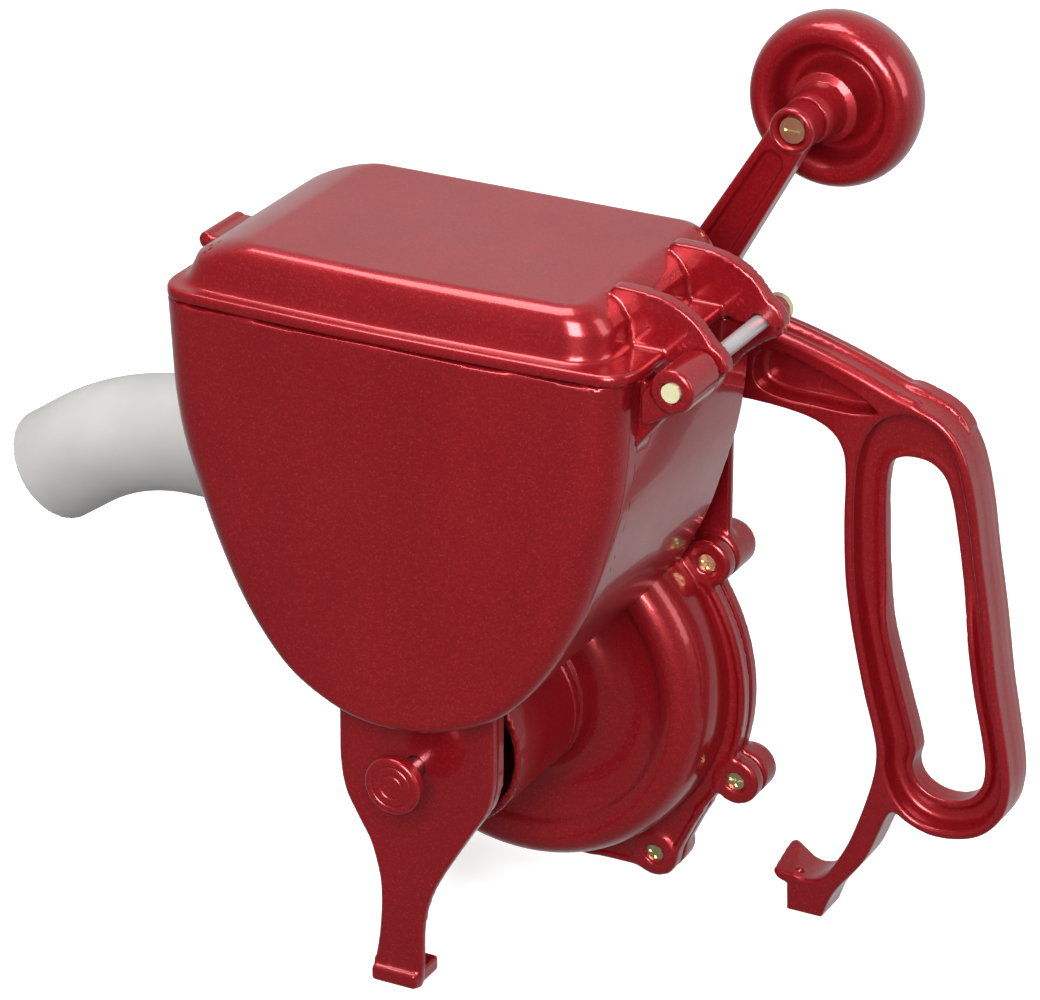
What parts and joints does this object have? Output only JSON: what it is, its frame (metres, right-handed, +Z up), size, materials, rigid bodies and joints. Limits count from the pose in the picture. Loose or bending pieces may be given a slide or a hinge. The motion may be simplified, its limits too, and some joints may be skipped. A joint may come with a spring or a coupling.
{
  "type": "hand-cranked rotary garden duster",
  "caption": "Hand-cranked powder duster: lidded hopper over a centrifugal blower, swivelling deflector nozzle, D-handle and geared crank.",
  "frame": {"origin": "middle of the object's footprint, on the surface that its feet stand on", "axes": "+X from the nozzle to the handle, +Y from the front cover to the crank, +Z up"},
  "size_m": [0.3344, 0.188, 0.2688],
  "materials": {
    "red_plastic": "glossy dark red with a fine metallic flake",
    "grey_plastic": "satin light grey",
    "bare_steel": "turned bare steel",
    "zinc": "pale yellow zinc plate",
    "gear_nylon": "natural nylon",
    "bronze": "sintered bronze",
    "seal_rubber": "matte black",
    "fan_plastic": "dark grey"
  },
  "bodies": {
    "root": {"front_cover": "red_plastic", "hopper_body": "red_plastic", "blower_housing": "red_plastic", "casing_gasket": "seal_rubber", "rear_casing": "red_plastic", "gear_cover": "red_plastic", "handle": "red_plastic", "handle_screws": "zinc", "housing_screws": "zinc", "gear_cover_screws": "zinc", "hinge_pin": "bare_steel", "hinge_pin_cap": "zinc", "discharge_tube": "grey_plastic", "idler_shaft": "bare_steel", "crank_bushes": "bronze", "shaft_seal": "seal_rubber", "fan_bushes": "bronze"},
    "lid": {"lid": "red_plastic"},
    "nozzle": {"nozzle": "grey_plastic"},
    "feed": {"feed_knob": "red_plastic", "feed_rod": "bare_steel", "feed_valve": "grey_plastic"},
    "crank": {"crank_shaft": "bare_steel", "crank_gear": "gear_nylon", "agitator": "bare_steel", "crank_ring": "bare_steel", "crank_arm": "red_plastic", "crank_nut": "zinc", "knob_axle": "bare_steel", "axle_screw": "zinc"},
    "grip": {"crank_knob": "red_plastic"},
    "idler": {"idler_gear": "gear_nylon", "idler_pinion": "bare_steel"},
    "fan": {"fan_shaft": "bare_steel", "fan_pinion": "bare_steel", "impeller": "fan_plastic"}
  },
  "joints": [
    {"name": "lid_hinge", "type": "hinge", "parent": "root", "child": "lid", "pos_m": [0.10262, -0.045, 0.211], "axis": [0, 1, 0], "range_deg": [0, 105]},
    {"name": "crank_spin", "type": "hinge", "parent": "root", "child": "crank", "pos_m": [0.02262, 0.028, 0.144], "axis": [0, 1, 0], "continuous": true},
    {"name": "grip_spin", "type": "hinge", "parent": "crank", "child": "grip", "pos_m": [0.08, 0.068, 0.24181], "axis": [0, 1, 0], "continuous": true},
    {"name": "idler_spin", "type": "hinge", "parent": "root", "child": "idler", "pos_m": [0.02487, 0.023, 0.10607], "axis": [0, 1, 0], "continuous": true},
    {"name": "fan_spin", "type": "hinge", "parent": "root", "child": "fan", "pos_m": [0.01962, 0.008, 0.0745], "axis": [0, 1, 0], "continuous": true},
    {"name": "nozzle_swivel", "type": "hinge", "parent": "root", "child": "nozzle", "pos_m": [-0.08388, 0.005, 0.122], "axis": [1, 0, 0], "range_deg": [-135, 135]},
    {"name": "feed_slide", "type": "slide", "parent": "root", "child": "feed", "axis": [0, 1, 0], "range_m": [0, 0.007]}
  ],
  "couplings": [
    {"joint": "idler_spin", "follows": "crank_spin", "ratio": -5.3333},
    {"joint": "fan_spin", "follows": "crank_spin", "ratio": 23.111}
  ]
}
